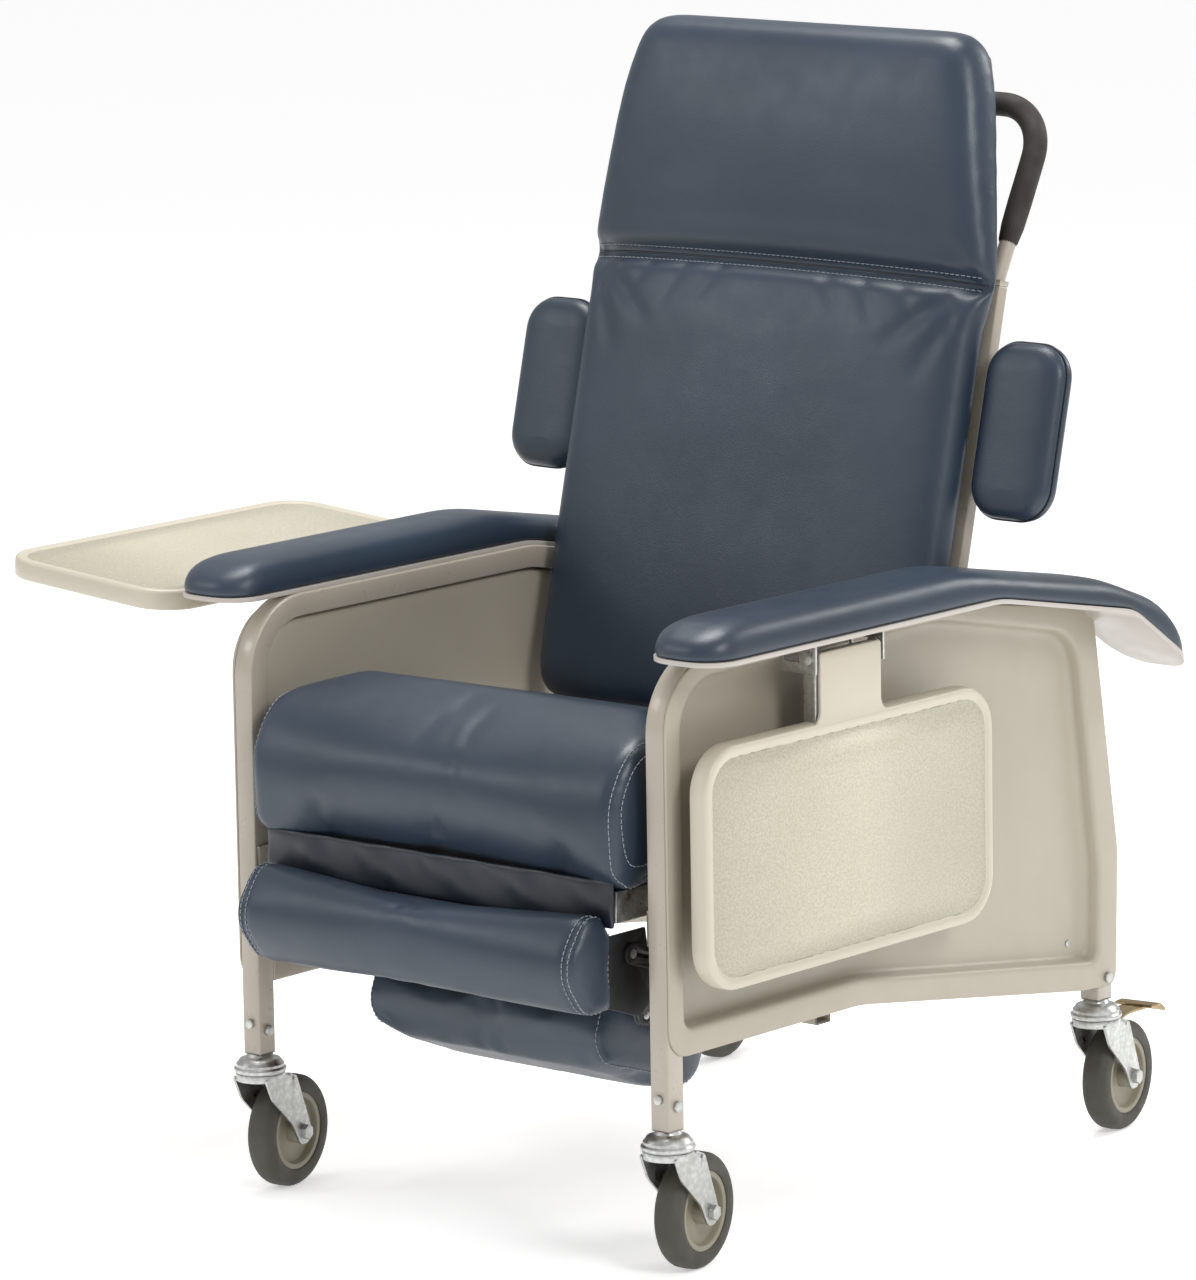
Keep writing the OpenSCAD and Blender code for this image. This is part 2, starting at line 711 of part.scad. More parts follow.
calf_outline = rounded_loop(
    [[calf_back, calf_low + 2], [calf_back, calf_back_top], [calf_back - 13, calf_high - 8],
     [calf_back - 20, calf_high], [calf_front + 34, calf_high],
     [calf_front, (calf_low + calf_high) / 2 + 16], [calf_front, (calf_low + calf_high) / 2 - 16],
     [calf_front + 34, calf_low]],
    [5, 8, 6, 4, 16, 40, 40, 22]);
module calf_pad() {
    color(vinyl_blue) along_x(-calf_half, 2 * calf_half) polygon(calf_outline);
}

// Foot rest, drawn level with its lower front corner at the origin of Y and Z
module tilted() {
    translate([0, foot_corner[0], foot_corner[1]]) rotate([-foot_tilt, 0, 0]) children();
}
module foot_pad() {
    color(vinyl_blue) tilted() along_x(-foot_half, 2 * foot_half)
        translate([(foot_len - foot_nose) / 2, foot_pad_t / 2])
            rounded_rect(foot_len + foot_nose, foot_pad_t, 24);
}
module foot_board() {
    color(board_brown) tilted() translate([-foot_arm_in, 6, foot_pad_t])
        cube([2 * foot_arm_in, foot_len - 24, foot_board_t]);
}
module foot_arms() {
    c = cos(foot_tilt);
    s = sin(foot_tilt);
    edge = [for (p = [[6, foot_pad_t], [110, foot_pad_t], [110, foot_pad_t + foot_board_t],
                      [6, foot_pad_t + foot_board_t]])
        foot_corner + [p[0] * c + p[1] * s, p[1] * c - p[0] * s]];
    color(link_black) both() difference() {
        along_x(foot_arm_in, plate_t) {
            translate(pivot_f) circle(link_half);
            polygon([pivot_f - [0, link_half], edge[1], edge[2], edge[3],
                     pivot_f + [0, link_half]]);
        }
        pin_hole(pivot_f, run_fit);
    }
}

// Casters are drawn at the stem, trailing towards +Y, then turned and placed
module at_caster(side, end) {
    translate([side * tube_x, end * leg_y, 0]) rotate([0, 0, caster_turn]) children();
}
module on_axle() {
    translate([0, caster_trail, wheel_r]) rotate([0, 90, 0]) children();
}
fork_outline = rounded_loop(
    [[-22, crown_z + 4], [24, crown_z + 4], [38, crown_z - 2], [caster_trail + 14, wheel_r],
     [caster_trail + 8, wheel_r - 14], [caster_trail - 8, wheel_r - 14],
     [caster_trail - 22, wheel_r + 12], [-8, crown_z - 24]],
    [2, 6, 8, 10, 10, 10, 40, 30]);
module fork(braked) {
    cheek_out = fork_in + fork_t;
    color(zinc) difference() {
        union() {
            translate([0, 0, crown_z]) cylinder(h = crown_top - crown_z, r = crown_r);
            translate([-cheek_out, 0, crown_z]) cube([2 * cheek_out, 22, 4]);
            for (x = [-cheek_out, fork_in]) along_x(x, fork_t) polygon(fork_outline);
            if (braked) rod_x(-cheek_out - 1.5, 2 * cheek_out + 3, pedal_pin, pedal_pin_r);
        }
        translate([0, 0, crown_z - 1]) cylinder(h = 20, r = stem_r + run_fit);
        rod_x(-cheek_out - 1, 2 * cheek_out + 2, [caster_trail, wheel_r], axle_r + run_fit);
        if (!braked) rod_x(-cheek_out - 1, 2 * cheek_out + 2, pedal_pin, pedal_pin_r);
    }
    color(zinc) on_axle() {
        translate([0, 0, -cheek_out - 3]) cylinder(h = 2 * cheek_out + 9, r = axle_r);
        translate([0, 0, -cheek_out - 5]) cylinder(h = 5 - run_fit, r = 9);
        translate([0, 0, cheek_out + run_fit]) cylinder(h = 6, r = 8.5, $fn = 6);
    }
}
module hub() {
    web = 6;
    rim = tyre_w / 2 - 2;
    color(hub_khaki) on_axle() rotate_extrude()
        polygon([[axle_r + run_fit, -hub_half], [14, -hub_half], [14, -web], [36, -web],
                 [38, -rim], [tyre_in_r, -rim], [tyre_in_r, rim], [38, rim], [36, web], [14, web],
                 [14, hub_half], [axle_r + run_fit, hub_half]]);
}
module tyre() {
    half = tyre_w / 2;
    color(tyre_olive) on_axle() rotate_extrude()
        polygon(concat([[tyre_in_r, -half + 1], [tyre_in_r + 4, -half]],
            [for (a = [-90:15:90]) [wheel_r - 11 + 11 * cos(a), (half - 5) * sin(a) + 5 * sign(a)]],
            [[tyre_in_r + 4, half], [tyre_in_r, half - 1]]));
}
// Brake lever: it turns on a pin between the fork's cheeks, over the tyre
module brake_pedal() {
    y0 = pedal_pin[0];
    z0 = pedal_pin[1];
    lever = rounded_path([[y0, z0 + 2], [y0 + 20, z0 + 6.5], [pedal_end - 26, z0 + 4]], [30]);
    tab = rounded_path([[pedal_end - 34, z0 + 7], [pedal_end - 14, z0 + 7], [pedal_end, z0 - 3]], [16]);
    color(pedal_bronze) difference() {
        union() {
            rod_x(-fork_in + 0.5, 2 * fork_in - 1, pedal_pin, 4);
            along_x(-14, 28) polygon(band(lever, -1.5, 1.5));
            along_x(-24, 48) polygon(band(tab, -1.5, 1.5));
        }
        rod_x(-fork_in - 1, 2 * fork_in + 2, pedal_pin, pedal_pin_r + run_fit);
    }
}

side_hoop();  // side_hoop_left
mirror([1, 0, 0]) side_hoop();  // side_hoop_right
lower_rails();
cross_tubes();
side_panel();  // side_panel_left
mirror([1, 0, 0]) side_panel();  // side_panel_right
arm_base();  // arm_base_left
mirror([1, 0, 0]) arm_base();  // arm_base_right
arm_pad();  // arm_pad_left
mirror([1, 0, 0]) arm_pad();  // arm_pad_right
tray_brackets();
glide_rails();
hinge_pins();
frame_fasteners();
caster_stems();
back_uprights();
back_cross_bars();
back_board();
back_cushion();
wing_pad();  // wing_pad_left
mirror([1, 0, 0]) wing_pad();  // wing_pad_right
wing_brackets();
push_handle();
handle_grip();
seat_frame();
seat_board();
seat_cushion();
glide_blocks();
leg_flap();
link_brackets();
upper_link_pins();
upper_links();
lower_link_pins();
lower_links();
calf_pins();
calf_gussets();
calf_board();
calf_pad();
foot_pins();
foot_arms();
foot_board();
foot_pad();
hanging() tray();  // tray_left
lifted() tray();  // tray_right
hanging() tray_arm();  // tray_arm_left
lifted() tray_arm();  // tray_arm_right
at_caster(1, -1) fork(false);  // fork_front_left
at_caster(-1, -1) fork(false);  // fork_front_right
at_caster(1, 1) fork(true);  // fork_rear_left
at_caster(-1, 1) fork(true);  // fork_rear_right
at_caster(1, -1) hub();  // hub_front_left
at_caster(-1, -1) hub();  // hub_front_right
at_caster(1, 1) hub();  // hub_rear_left
at_caster(-1, 1) hub();  // hub_rear_right
at_caster(1, -1) tyre();  // tyre_front_left
at_caster(-1, -1) tyre();  // tyre_front_right
at_caster(1, 1) tyre();  // tyre_rear_left
at_caster(-1, 1) tyre();  // tyre_rear_right
at_caster(1, 1) brake_pedal();  // brake_pedal_left
at_caster(-1, 1) brake_pedal();  // brake_pedal_right
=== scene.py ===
"""Patient recliner chair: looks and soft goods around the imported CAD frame. Metres, +Z up."""
import json
import math

import bmesh
import bpy
from mathutils import Matrix, Vector
from mathutils.bvhtree import BVHTree


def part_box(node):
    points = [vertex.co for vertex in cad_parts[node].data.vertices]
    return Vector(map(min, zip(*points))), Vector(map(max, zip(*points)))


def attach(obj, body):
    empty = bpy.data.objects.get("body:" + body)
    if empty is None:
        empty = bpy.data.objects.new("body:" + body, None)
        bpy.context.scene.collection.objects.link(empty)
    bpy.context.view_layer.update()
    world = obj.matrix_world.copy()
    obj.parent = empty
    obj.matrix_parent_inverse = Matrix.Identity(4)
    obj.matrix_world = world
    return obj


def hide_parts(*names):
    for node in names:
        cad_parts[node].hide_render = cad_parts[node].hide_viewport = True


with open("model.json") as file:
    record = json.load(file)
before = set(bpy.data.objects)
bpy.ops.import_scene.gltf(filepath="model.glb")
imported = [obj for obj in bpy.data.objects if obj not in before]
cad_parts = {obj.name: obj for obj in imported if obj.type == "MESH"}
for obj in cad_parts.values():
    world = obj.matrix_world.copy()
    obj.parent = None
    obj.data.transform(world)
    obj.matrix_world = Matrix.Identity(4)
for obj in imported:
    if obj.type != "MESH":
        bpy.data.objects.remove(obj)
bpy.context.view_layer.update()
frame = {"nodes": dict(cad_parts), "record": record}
NODES = frame["nodes"]

# Places that follow the CAD model
BACK_PIVOT = Vector((0, 0.118, 0.385))
BACK_LEAN = math.radians(14)
BACK_TURN = Matrix.Translation(BACK_PIVOT) @ Matrix.Rotation(-BACK_LEAN, 4, "X")
FOOT_TURN = Matrix.Translation((0, -0.345, 0.212)) @ Matrix.Rotation(-math.radians(22), 4, "X")
SEAM_Z = 0.622
CUSHION_BACK = -0.041
CLOTH_FRAMES = 20


# ---------------------------------------------------------------- materials
def srgb(r, g, b):
    """Linear colour from 0-255 display values."""
    def one(v):
        v /= 255
        return v / 12.92 if v <= 0.04045 else ((v + 0.055) / 1.055) ** 2.4
    return (one(r), one(g), one(b), 1)


class Shader:
    """A Principled material with a few short helpers for its nodes."""

    def __init__(self, name, color, rough=0.5, metal=0.0, **sockets):
        self.mat = bpy.data.materials.new(name)
        self.mat.use_nodes = True
        self.tree = self.mat.node_tree
        self.bsdf = self.tree.nodes["Principled BSDF"]
        self.set(self.bsdf, "Base Color", color)
        self.set(self.bsdf, "Roughness", rough)
        self.set(self.bsdf, "Metallic", metal)
        for key, value in sockets.items():
            self.set(self.bsdf, key.replace("_", " "), value)
        self.coord = self.node("ShaderNodeTexCoord").outputs["Object"]
        self.height = None

    def set(self, node, socket, value):
        node.inputs[socket].default_value = value

    def node(self, kind, **props):
        n = self.tree.nodes.new(kind)
        for key, value in props.items():
            setattr(n, key, value)
        return n

    def link(self, a, b):
        self.tree.links.new(a, b)

    def stretched(self, scale):
        m = self.node("ShaderNodeMapping")
        self.set(m, "Scale", scale)
        self.link(self.coord, m.inputs["Vector"])
        return m.outputs["Vector"]

    def noise(self, scale, detail=2, rough=0.5, at=None):
        n = self.node("ShaderNodeTexNoise")
        self.set(n, "Scale", scale)
        self.set(n, "Detail", detail)
        self.set(n, "Roughness", rough)
        self.link(at or self.coord, n.inputs["Vector"])
        return n.outputs["Fac"]

    def cells(self, scale, feature="F1"):
        n = self.node("ShaderNodeTexVoronoi", feature=feature)
        self.set(n, "Scale", scale)
        self.link(self.coord, n.inputs["Vector"])
        return n.outputs["Distance"]

    def ramp(self, fac, stops):
        n = self.node("ShaderNodeValToRGB")
        self.link(fac, n.inputs["Fac"])
        ramp = n.color_ramp
        while len(ramp.elements) < len(stops):
            ramp.elements.new(0.5)
        for e, (pos, col) in zip(ramp.elements, stops):
            e.position = pos
            e.color = col if hasattr(col, "__len__") else (col, col, col, 1)
        return n.outputs["Color"]

    def mix(self, fac, a, b):
        n = self.node("ShaderNodeMix", data_type="RGBA")
        for value, socket in ((fac, n.inputs[0]), (a, n.inputs[6]), (b, n.inputs[7])):
            if hasattr(value, "links"):
                self.link(value, socket)
            else:
                socket.default_value = value
        return n.outputs[2]

    def bump(self, height, distance, strength=1.0):
        """Adds a bump layer over those added before it; distance is in metres."""
        n = self.node("ShaderNodeBump")
        self.set(n, "Distance", distance)
        self.set(n, "Strength", strength)
        self.link(height, n.inputs["Height"])
        if self.height:
            self.link(self.height, n.inputs["Normal"])
        self.height = n.outputs["Normal"]
        self.link(self.height, self.bsdf.inputs["Normal"])

    def color(self, out):
        self.link(out, self.bsdf.inputs["Base Color"])

    def rough(self, out):
        self.link(out, self.bsdf.inputs["Roughness"])


def vinyl(name, base, dark, light):
    s = Shader(name, base, 0.4, IOR=1.5)
    tone = s.ramp(s.noise(4, 3), [(0.3, dark), (0.5, base), (0.72, light)])
    s.color(s.mix(s.ramp(s.noise(900, 1), [(0.3, 0.0), (0.8, 0.35)]), tone, dark))
    s.rough(s.ramp(s.noise(30, 4), [(0.3, 0.34), (0.7, 0.42)]))
    s.bump(s.noise(11, 2), 0.0022, 0.3)
    s.bump(s.noise(120, 3), 0.00035, 0.3)
    s.bump(s.cells(820), 0.0002, 0.5)
    return s.mat


def speckled(name, base, dark, light):
    s = Shader(name, base, 0.45)
    spots = s.ramp(s.noise(420, 2, 0.7), [(0.42, 0.0), (0.58, 1.0)])
    s.color(s.mix(s.ramp(s.noise(3, 2), [(0.3, 0.2), (0.7, 0.6)]), s.mix(spots, base, light), dark))
    s.rough(s.ramp(s.noise(300, 2), [(0.35, 0.42), (0.65, 0.6)]))
    s.bump(s.noise(420, 2, 0.7), 0.00025, 0.7)
    return s.mat


def moulded(name, base, dark, rough=0.42, grain=650, depth=0.00015):
    s = Shader(name, base, rough, Coat_Weight=0.08, Coat_Roughness=0.3)
    s.color(s.mix(s.ramp(s.noise(5, 4), [(0.3, 0.0), (0.75, 0.55)]), base, dark))
    s.rough(s.ramp(s.noise(40, 3), [(0.3, rough - 0.05), (0.7, rough + 0.07)]))
    s.bump(s.noise(grain, 2), depth, 0.6)
    s.bump(s.noise(5, 2), 0.0015, 0.25)
    return s.mat


def enamel(name, base, dark):
    s = Shader(name, base, 0.32, Coat_Weight=0.35, Coat_Roughness=0.18)
    s.color(s.mix(s.ramp(s.noise(9, 5), [(0.35, 0.0), (0.8, 0.5)]), base, dark))
    s.rough(s.ramp(s.noise(60, 3), [(0.3, 0.26), (0.7, 0.4)]))
    s.bump(s.noise(900, 1), 0.0001, 0.5)
    s.bump(s.noise(120, 2), 0.0003, 0.25)
    return s.mat


def plated(name, base, dark, rough=0.36):
    """Zinc-plated steel: faint spangle, drawing lines and duller patches."""
    s = Shader(name, base, rough, 1.0)
    s.color(s.mix(s.ramp(s.cells(170), [(0.15, 0.0), (0.7, 0.55)]), base, dark))
    s.rough(s.ramp(s.noise(75, 4), [(0.3, rough - 0.12), (0.75, rough + 0.2)]))
    s.bump(s.noise(500, 2, at=s.stretched((1, 1, 9))), 0.00012, 0.4)
    s.bump(s.noise(50, 3), 0.0004, 0.3)
    return s.mat


def dull(name, base, dark, rough=0.7, grain=300, depth=0.0003, metal=0.0):
    s = Shader(name, base, rough, metal)
    s.color(s.mix(s.ramp(s.noise(30, 5), [(0.35, 0.0), (0.7, 0.8)]), base, dark))
    s.rough(s.ramp(s.noise(50, 3), [(0.3, rough - 0.1), (0.7, min(1, rough + 0.12))]))
    s.bump(s.noise(grain, 3), depth, 0.7)
    return s.mat


def plywood(name):
    s = Shader(name, srgb(150, 118, 82), 0.7)
    grain = s.noise(30, 6, at=s.stretched((0.25, 4, 4)))
    s.color(s.ramp(grain, [(0.3, srgb(122, 92, 60)), (0.6, srgb(168, 134, 94))]))
    s.bump(grain, 0.0004, 0.6)
    return s.mat


def thread(name, base, dark):
    s = Shader(name, base, 0.75, Sheen_Weight=0.4)
    s.color(s.ramp(s.noise(1500, 2), [(0.35, dark), (0.65, base)]))
    s.bump(s.noise(2500, 1), 0.0002, 0.8)
    return s.mat


MAT = {
    "vinyl": vinyl("slate_vinyl", srgb(40, 52, 66), srgb(34, 46, 59), srgb(46, 59, 74)),
    # Darker copy of the vinyl, as painted shade: used for the back seam fold, the wing pad welts, the leg
    # flap and the foot board.
    "vinyl_dark": vinyl("shaded_vinyl", srgb(26, 33, 43), srgb(21, 27, 36), srgb(32, 40, 51)),
    "frame_paint": enamel("taupe_enamel", srgb(166, 157, 144), srgb(152, 143, 129)),
    "panel_plastic": moulded("ivory_panel", srgb(166, 158, 143), srgb(155, 147, 132)),
    "tray_rim": moulded("tray_rim", srgb(190, 182, 166), srgb(181, 173, 156), 0.38, 500),
    "tray_plastic": speckled("tray_speckle", srgb(182, 175, 156), srgb(166, 159, 140), srgb(202, 196, 180)),
    "arm_lip": moulded("arm_lip", srgb(180, 174, 167), srgb(168, 162, 153), 0.4),
    "grip_foam": dull("grip_foam", srgb(46, 40, 38), srgb(34, 29, 28), 0.75, 900, 0.0003),
    "zinc": plated("zinc_plate", srgb(196, 197, 194), srgb(160, 161, 158)),
    "black_steel": dull("black_steel", srgb(34, 34, 36), srgb(26, 26, 28), 0.45, 600, 0.0002),
    "board": plywood("plywood"),
    "tyre": dull("tyre_rubber", srgb(68, 66, 58), srgb(56, 54, 47), 0.62, 260, 0.0002),
    "hub_plastic": moulded("hub_plastic", srgb(140, 134, 117), srgb(120, 114, 98), 0.5),
    "pedal": plated("bronze_pedal", srgb(168, 148, 112), srgb(128, 108, 78), 0.34),
    "thread": thread("stitch_thread", srgb(150, 158, 166), srgb(112, 120, 130)),
}


# The foot board takes the shaded vinyl: its own dark backing, painted darker still as shade so that it blends
# under the seat.
OTHER_LOOK = {"arm_base_left": "arm_lip", "arm_base_right": "arm_lip", "foot_board": "vinyl_dark"}


def paint_frame():
    """Every CAD node takes the material of its record slot, apart from those in OTHER_LOOK."""
    for part in frame["record"]["subparts"]:
        key = OTHER_LOOK.get(part["node"], part["material_slot"])
        obj = NODES[part["node"]]
        obj.data.materials.clear()
        obj.data.materials.append(MAT[key])


# ---------------------------------------------------------------- mesh helpers
def piece(name, bm, mat, body, smooth=True):
    """Makes an object of a bmesh, in the row frame, and lets it ride on a body."""
    bmesh.ops.recalc_face_normals(bm, faces=bm.faces)
    mesh = bpy.data.meshes.new(name)
    bm.to_mesh(mesh)
    bm.free()
    obj = bpy.data.objects.new(name, mesh)
    bpy.context.scene.collection.objects.link(obj)
    mesh.materials.append(MAT[mat])
    for p in mesh.polygons:
        p.use_smooth = smooth
    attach(obj, body)
    return obj


def rings_mesh(rings, closed_ends=True):
    """Skin over a list of rings with equal point counts."""
    bm = bmesh.new()
    made = [[bm.verts.new(p) for p in ring] for ring in rings]
    n = len(rings[0])
    for a, b in zip(made, made[1:]):
        for i in range(n):
            bm.faces.new((a[i], a[(i + 1) % n], b[(i + 1) % n], b[i]))
    if closed_ends:
        bm.faces.new(made[0])
        bm.faces.new(made[-1])
    return bm


def bend_corner(p, q, s, r, step=math.radians(9)):
    """Arc of radius r that rounds the corner q between p and s, as 2-D points."""
    p, q, s = Vector(p), Vector(q), Vector(s)
    u, v = (p - q).normalized(), (s - q).normalized()
    half = math.acos(max(-1, min(1, u.dot(v)))) / 2
    c = q + (u + v).normalized() * r / math.sin(half)
    a = q + u * r / math.tan(half) - c
    b = q + v * r / math.tan(half) - c
    a0 = math.atan2(a.y, a.x)
    da = (math.atan2(b.y, b.x) - a0 + math.pi) % (2 * math.pi) - math.pi
    n = max(2, math.ceil(abs(da) / step))
    return [c + r * Vector((math.cos(a0 + da * i / n), math.sin(a0 + da * i / n)))
            for i in range(n + 1)]


def rounded_loop(points, radii):
    n = len(points)
    out = []
    for i in range(n):
        out += bend_corner(points[i - 1], points[i], points[(i + 1) % n], radii[i])
    return out


def even_loop(points, count):
    """The closed outline resampled to evenly spaced points."""
    ends = points[1:] + points[:1]
    total = sum((b - a).length for a, b in zip(points, ends))
    out, walked, k = [], 0.0, 0
    for i in range(count):
        goal = total * i / count
        while walked + (ends[k] - points[k]).length < goal:
            walked += (ends[k] - points[k]).length
            k += 1
        seg = ends[k] - points[k]
        out.append(points[k] + seg * ((goal - walked) / max(seg.length, 1e-9)))
    return out


def inset(points, d):
    """Closed outline moved inwards by d, whichever way it runs."""
    n = len(points)
    area = sum(points[i - 1].x * points[i].y - points[i].x * points[i - 1].y for i in range(n))
    sign = 1 if area > 0 else -1
    out = []
    for i in range(n):
        t = (points[(i + 1) % n] - points[i - 1]).normalized()
        out.append(points[i] + sign * d * Vector((-t.y, t.x)))
    return out


def tube_mesh(path, radius, sides=8, closed=False):
    """Round tube along 3-D points."""
    n = len(path)
    rings = []
    side = None
    for i in range(n):
        a = path[(i - 1) % n] if closed or i else path[0]
        b = path[(i + 1) % n] if closed or i < n - 1 else path[-1]
        t = (b - a).normalized()
        if side is None:
            side = t.orthogonal().normalized()
        side = (side - t * side.dot(t)).normalized()
        up = t.cross(side)
        rings.append([path[i] + radius * (math.cos(q) * side + math.sin(q) * up)
                      for q in (2 * math.pi * k / sides for k in range(sides))])
    if closed:
        rings.append(rings[0])
    return rings_mesh(rings, not closed)


def join_into(target, source):
    mesh = bpy.data.meshes.new("joined")
    source.to_mesh(mesh)
    source.free()
    target.from_mesh(mesh)
    bpy.data.meshes.remove(mesh)


def subdivide(obj, levels=1):
    mod = obj.modifiers.new("Subdivision", "SUBSURF")
    mod.levels = mod.render_levels = levels
    return obj


def apply_all(obj):
    """Replaces the object's mesh by what its modifiers make of it."""
    bpy.context.view_layer.update()
    graph = bpy.context.evaluated_depsgraph_get()
    mesh = bpy.data.meshes.new_from_object(obj.evaluated_get(graph))
    for p in mesh.polygons:
        p.use_smooth = True
    obj.modifiers.clear()
    old = obj.data
    obj.data = mesh
    bpy.data.meshes.remove(old)


def swell(obj, voxel, cap, pressure=4.0, pins=None):
    """Inflates a pad by a short cloth simulation; no point moves more than cap."""
    scene = bpy.context.scene
    remesh = obj.modifiers.new("Remesh", "REMESH")
    remesh.mode = "VOXEL"
    remesh.voxel_size = voxel
    apply_all(obj)
    start = [v.co.copy() for v in obj.data.vertices]
    if pins:
        group = obj.vertex_groups.new(name="held")
        for v in obj.data.vertices:
            weight = pins(v.co)
            if weight > 0:
                group.add([v.index], weight, "REPLACE")
    cloth = obj.modifiers.new("Cloth", "CLOTH")
    s = cloth.settings
    s.quality = 4
    s.mass = 0.3
    s.use_pressure = True
    s.uniform_pressure_force = pressure
    s.tension_stiffness = s.compression_stiffness = 18
    s.shear_stiffness = 8
    s.bending_stiffness = 1.2
    s.effector_weights.gravity = 0
    if pins:
        s.vertex_group_mass = "held"
    cloth.point_cache.frame_start = 1
    cloth.point_cache.frame_end = CLOTH_FRAMES
    for f in range(1, CLOTH_FRAMES + 1):
        scene.frame_set(f)
    apply_all(obj)
    for v, p in zip(obj.data.vertices, start):
        move = v.co - p
        if move.length > cap:
            v.co = p + move * (cap / move.length)
    scene.frame_set(1)


def smoothed(obj, factor=0.5, turns=6):
    bm = bmesh.new()
    bm.from_mesh(obj.data)
    for _ in range(turns):
        bmesh.ops.smooth_vert(bm, verts=bm.verts, factor=factor,
                              use_axis_x=True, use_axis_y=True, use_axis_z=True)
    bm.to_mesh(obj.data)
    bm.free()


def on_surface(obj, points, direction, reach=0.2):
    """Points dropped on the object's surface along a direction, with the normals there."""
    graph = bpy.context.evaluated_depsgraph_get()
    bm = bmesh.new()
    bm.from_object(obj, graph)
    tree = BVHTree.FromBMesh(bm)
    out = []
    for p in points:
        hit, normal, _, _ = tree.ray_cast(p - direction * reach, direction)
        if hit is not None:
            out.append((hit, normal))
    bm.free()
    return out


def stitches(name, placed, body, length=0.0045, gap=0.0022, radius=0.00055):
    """A row of short threads that follow points on a surface, each lying in a small arch."""
    if len(placed) < 2:
        return None
    bm = bmesh.new()
    pts = [p + n * 0.0004 for p, n in placed]
    nrm = [n for _, n in placed]
    cum = [0.0]
    for a, b in zip(pts, pts[1:]):
        cum.append(cum[-1] + (b - a).length)

    def at(s):
        lo, hi = 0, len(cum) - 2
        while lo < hi:
            mid = (lo + hi + 1) // 2
            if cum[mid] <= s:
                lo = mid
            else:
                hi = mid - 1
        k = lo
        f = (s - cum[k]) / max(cum[k + 1] - cum[k], 1e-9)
        return pts[k].lerp(pts[k + 1], f), nrm[k].lerp(nrm[k + 1], f).normalized()

    s = 0.0
    while s + length < cum[-1]:
        (a, na), (m, nm), (b, nb) = at(s), at(s + length / 2), at(s + length)
        crest = nm * 0.00035
        path = [a - na * 0.0006, a.lerp(m, 0.4) + crest, b.lerp(m, 0.4) + crest, b - nb * 0.0006]
        join_into(bm, tube_mesh(path, radius, 5))
        s += length + gap
    return piece(name, bm, "thread", body)


# ---------------------------------------------------------------- soft goods
def mirrored_loop(half, radii, count):
    """Rounded outline, symmetric about x = 0, that starts at its lowest middle point."""
    left = [(-x, z) for x, z in reversed(half)]
    pts = rounded_loop([Vector(p) for p in half + left], radii + radii[::-1])
    low = min(p.y for p in pts)
    start = min(range(len(pts)), key=lambda i: (abs(pts[i].y - low) > 1e-6, abs(pts[i].x)))
    pts = pts[start:] + pts[:start]
    first = Vector((0, low))
    if (pts[0] - first).length > 1e-6:
        pts = [first] + (pts if pts[0].x > 0 else pts[1:] + pts[:1])
    return even_loop(pts, count)


def pair_cap(bm, ring):
    """Closes a symmetric ring by quads that run straight across it."""
    n = len(ring)
    for i in range(n // 2):
        j, k = (i + 1) % n, (n - i - 1) % n
        corners = [ring[i], ring[j], ring[k], ring[(n - i) % n]]
        corners = [v for m, v in enumerate(corners) if v not in corners[:m]]
        if len(corners) > 2:
            bm.faces.new(corners)


def layered(loop, layers, place):
    """Closed body of the loop's insets: layers are (inset, depth), placed by place(point, depth)."""
    bm = bmesh.new()
    rings = []
    for d, depth in layers:
        shape = inset(loop, d) if d else loop
        rings.append([bm.verts.new(place(p, depth)) for p in shape])
    n = len(loop)
    for a, b in zip(rings, rings[1:]):
        for i in range(n):
            bm.faces.new((a[i], a[(i + 1) % n], b[(i + 1) % n], b[i]))
    pair_cap(bm, rings[0])
    pair_cap(bm, rings[-1])
    return bm


def smoothstep(a, b, x):
    t = max(0.0, min(1.0, (x - a) / (b - a)))
    return t * t * (3 - 2 * t)


def press_folds(obj, folds, turn=Matrix.Identity(4)):
    """Presses creases along Y in the piece's own frame, ahead of a plane: each fold is
    (start, end, width, depth, plane)."""
    back = turn.inverted()
    ahead = (turn.to_3x3() @ Vector((0, 1, 0))).normalized()
    for v in obj.data.vertices:
        q = back @ v.co
        push = 0.0
        for a, b, width, depth, front in folds:
            if q.y > front:
                continue
            ab = Vector((b[0] - a[0], b[1] - a[1]))
            ap = Vector((q.x - a[0], q.z - a[1]))
            t = max(0.0, min(1.0, ap.dot(ab) / ab.length_squared))
            d = (ap - ab * t).length
            push += depth * math.exp(-(d / width) ** 2) * (1 - t) ** 0.6
        v.co += ahead * push


